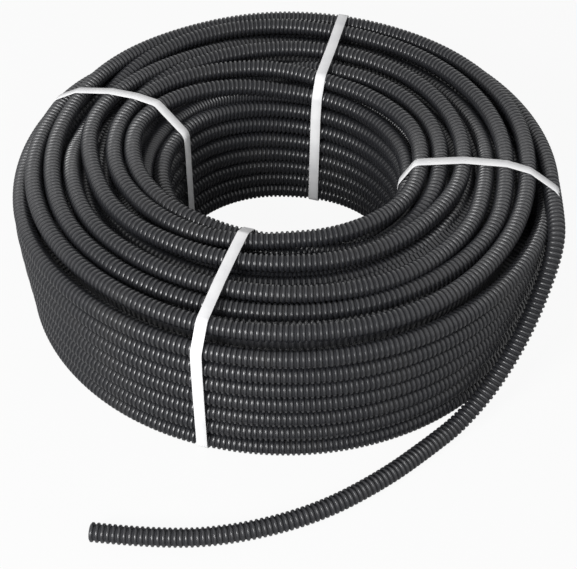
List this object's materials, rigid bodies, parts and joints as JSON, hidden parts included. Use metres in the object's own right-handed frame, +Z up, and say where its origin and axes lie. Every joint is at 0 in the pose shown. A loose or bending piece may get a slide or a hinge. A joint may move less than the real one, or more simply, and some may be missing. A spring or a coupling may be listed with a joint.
{
  "type": "coil of corrugated conduit",
  "caption": "Round coil of flexible corrugated conduit, wound in layers round an open bore, tied with flat straps, with one open ribbed end lying free.",
  "frame": {"origin": "on the coil's axis, at the level of the floor that it lies on", "axes": "+Z up along the coil's axis; -Y is the side that the free end lies on; the free end runs towards -X"},
  "size_m": [0.6073, 0.7169, 0.1815],
  "materials": {
    "conduit": "smooth satin black",
    "strap": "white strapping band, lightly embossed"
  },
  "bodies": {
    "root": {"conduit": "conduit", "strap_front": "strap", "strap_back": "strap", "strap_left": "strap", "strap_right": "strap"}
  },
  "joints": []
}
